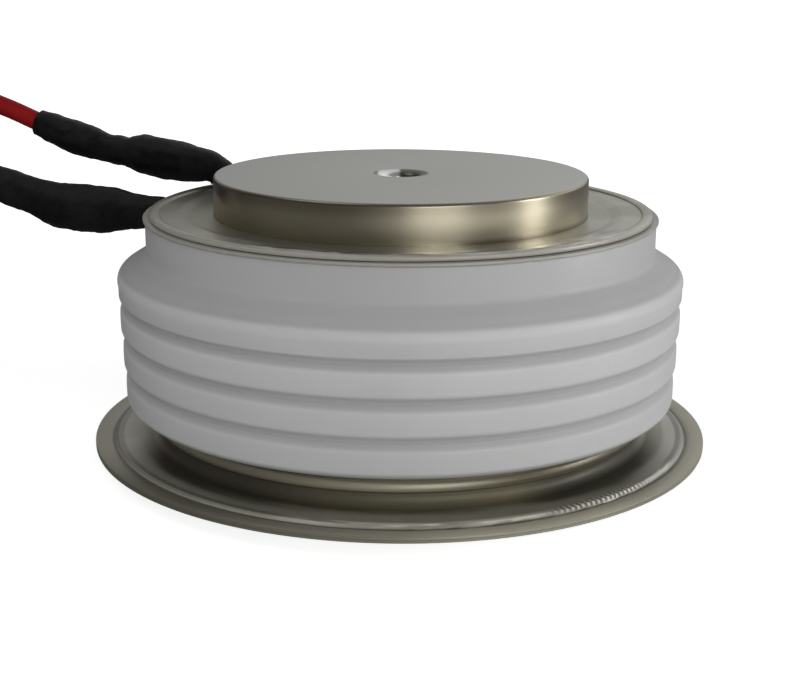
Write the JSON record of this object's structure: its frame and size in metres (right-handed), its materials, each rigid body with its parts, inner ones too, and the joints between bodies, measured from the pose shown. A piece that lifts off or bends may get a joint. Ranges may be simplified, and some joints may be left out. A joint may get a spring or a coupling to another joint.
{
  "type": "press-pack gate turn-off thyristor",
  "caption": "Round ceramic press-pack power semiconductor capsule with raised contact faces, a thin welded foot flange, a gate lead and an auxiliary cathode lead.",
  "frame": {"origin": "centre of the anode contact face, at the bottom", "axes": "+Z along the capsule's axis, from the anode contact face to the cathode contact face; the leads leave towards -X"},
  "size_m": [0.1374, 0.076, 0.0349],
  "materials": {
    "nickel_plate": "bright nickel plate on copper, fine turning marks",
    "nickel_plated_sheet": "nickel plate on thin formed sheet, warm grey",
    "glazed_alumina": "smooth white glaze",
    "molybdenum": "lapped grey metal",
    "silicon": "polished dark wafer",
    "silicone_seal": "cast silicone",
    "white_insulator": "moulded white plastic",
    "spring_steel": "drawn steel",
    "tinned_copper": "tinned copper",
    "black_heat_shrink": "shrunk black tubing, half matt",
    "red_wire_insulation": "smooth silicone wire insulation",
    "white_wire_insulation": "smooth silicone wire insulation",
    "nylon_tie": "natural nylon"
  },
  "bodies": {
    "root": {"anode_pole": "nickel_plate", "cathode_pole": "nickel_plate", "gate_tube": "nickel_plate", "anode_flange": "nickel_plated_sheet", "lower_weld_ring": "nickel_plated_sheet", "upper_weld_ring": "nickel_plated_sheet", "cathode_flange": "nickel_plated_sheet", "ceramic_ring": "glazed_alumina", "anode_molybdenum_disc": "molybdenum", "cathode_molybdenum_disc": "molybdenum", "silicon_wafer": "silicon", "wafer_edge_seal": "silicone_seal", "centring_ring": "white_insulator", "gate_insulating_cup": "white_insulator", "gate_pin_collar": "white_insulator", "inner_gate_wire_sleeve": "white_insulator", "gate_pin": "spring_steel", "gate_spring": "spring_steel", "gate_pressure_washer": "spring_steel", "inner_gate_wire": "tinned_copper", "gate_crimp": "tinned_copper", "cathode_crimp": "tinned_copper", "cathode_tag": "tinned_copper", "gate_ring_terminal": "tinned_copper", "cathode_ring_terminal": "tinned_copper", "gate_sleeve": "black_heat_shrink", "cathode_sleeve_large": "black_heat_shrink", "cathode_sleeve_small": "black_heat_shrink", "gate_terminal_sleeve": "black_heat_shrink", "cathode_terminal_sleeve": "black_heat_shrink", "cathode_lead": "red_wire_insulation", "cathode_lead_coil": "red_wire_insulation", "cathode_lead_tail": "red_wire_insulation", "gate_lead": "white_wire_insulation", "gate_lead_coil": "white_wire_insulation", "gate_lead_tail": "white_wire_insulation", "gate_coil_tie": "nylon_tie", "cathode_coil_tie": "nylon_tie"}
  },
  "joints": []
}
